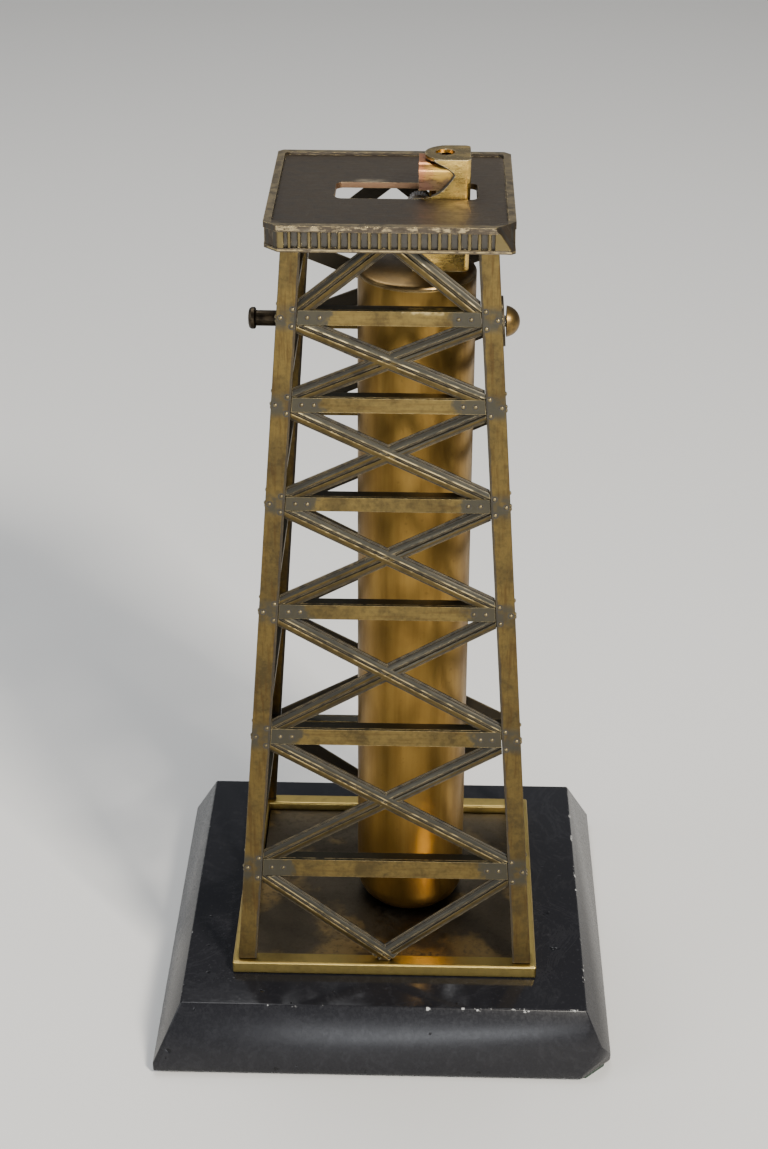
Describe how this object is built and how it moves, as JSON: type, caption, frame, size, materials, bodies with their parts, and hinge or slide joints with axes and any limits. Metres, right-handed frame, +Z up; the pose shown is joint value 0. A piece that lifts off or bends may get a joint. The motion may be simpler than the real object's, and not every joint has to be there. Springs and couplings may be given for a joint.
{
  "type": "oil derrick table lighter",
  "caption": "Brass table lighter shaped as an oil derrick: lattice tower on a bevelled black plinth, lighter tube inside, flame hood above a slotted crown plate, and a side knob",
  "frame": {"origin": "centre of the plinth's footprint on the floor", "axes": "+Z up the tower, -Y the front, +X the side with the ball knob"},
  "size_m": [0.102, 0.102, 0.1961],
  "materials": {
    "ball_knob": "satin",
    "felt": "felt",
    "antique_brass": "antique patina, worn bright on the edges",
    "crown_plate": "dark satin bronze patina with scratches",
    "flint_tube": "satin",
    "floor_plate": "dark patina",
    "hood": "bright",
    "knob_axle": "dull",
    "left_boss": "dark",
    "left_washer": "dark",
    "lighter_tube": "satin, tarnished",
    "black_stone": "polished black",
    "sill_frame": "worn bright",
    "snuffer": "bright, heat tinted",
    "snuffer_pin": "bright",
    "striker_wheel": "serrated",
    "tie_screw": "zinc plated",
    "tube_cap": "dull",
    "wick": "cotton"
  },
  "bodies": {
    "tower": {"base_felt": "felt", "brace_back_crown": "antique_brass", "brace_back_foot": "antique_brass", "brace_back_tier_1": "antique_brass", "brace_back_tier_2": "antique_brass", "brace_back_tier_3": "antique_brass", "brace_back_tier_4": "antique_brass", "brace_back_tier_5": "antique_brass", "brace_front_crown": "antique_brass", "brace_front_foot": "antique_brass", "brace_front_tier_1": "antique_brass", "brace_front_tier_2": "antique_brass", "brace_front_tier_3": "antique_brass", "brace_front_tier_4": "antique_brass", "brace_front_tier_5": "antique_brass", "brace_left_crown": "antique_brass", "brace_left_foot": "antique_brass", "brace_left_tier_1": "antique_brass", "brace_left_tier_2": "antique_brass", "brace_left_tier_3": "antique_brass", "brace_left_tier_4": "antique_brass", "brace_left_tier_5": "antique_brass", "brace_right_crown": "antique_brass", "brace_right_foot": "antique_brass", "brace_right_tier_1": "antique_brass", "brace_right_tier_2": "antique_brass", "brace_right_tier_3": "antique_brass", "brace_right_tier_4": "antique_brass", "brace_right_tier_5": "antique_brass", "crown_plate": "crown_plate", "flint_tube": "flint_tube", "floor_plate": "floor_plate", "girt_ring_1": "antique_brass", "girt_ring_2": "antique_brass", "girt_ring_3": "antique_brass", "girt_ring_4": "antique_brass", "girt_ring_5": "antique_brass", "girt_ring_6": "antique_brass", "hood": "hood", "left_washer": "left_washer", "leg_back_left": "antique_brass", "leg_back_right": "antique_brass", "leg_front_left": "antique_brass", "leg_front_right": "antique_brass", "lighter_tube": "lighter_tube", "plinth": "black_stone", "right_washer": "left_washer", "sill_frame": "sill_frame", "snuffer_pin": "snuffer_pin", "tie_screw": "tie_screw", "tube_cap": "tube_cap", "wick": "wick", "wick_tube": "flint_tube"},
    "axle": {"knob_axle": "knob_axle", "ball_knob": "ball_knob", "left_boss": "left_boss"},
    "snuffer_arm": {"snuffer": "snuffer"},
    "striker": {"striker_wheel": "striker_wheel"}
  },
  "joints": [
    {"name": "knob_turn", "type": "hinge", "parent": "tower", "child": "axle", "pos_m": [0, 0, 0.16], "axis": [1, 0, 0], "range_deg": [0, 60], "stiffness_Nm_per_rad": 0.0005, "springref_deg": -8.59},
    {"name": "snuffer_swing", "type": "hinge", "parent": "tower", "child": "snuffer_arm", "pos_m": [0.009, 0, 0.1751], "axis": [0, -1, 0], "range_deg": [0, 26]},
    {"name": "striker_turn", "type": "hinge", "parent": "tower", "child": "striker", "pos_m": [0.0054, -0.0006, 0.1855], "axis": [0, 1, 0], "range_deg": [0, 90]}
  ],
  "couplings": [
    {"joint": "snuffer_swing", "follows": "knob_turn", "ratio": 0.43},
    {"joint": "striker_turn", "follows": "knob_turn", "ratio": 1.49}
  ]
}
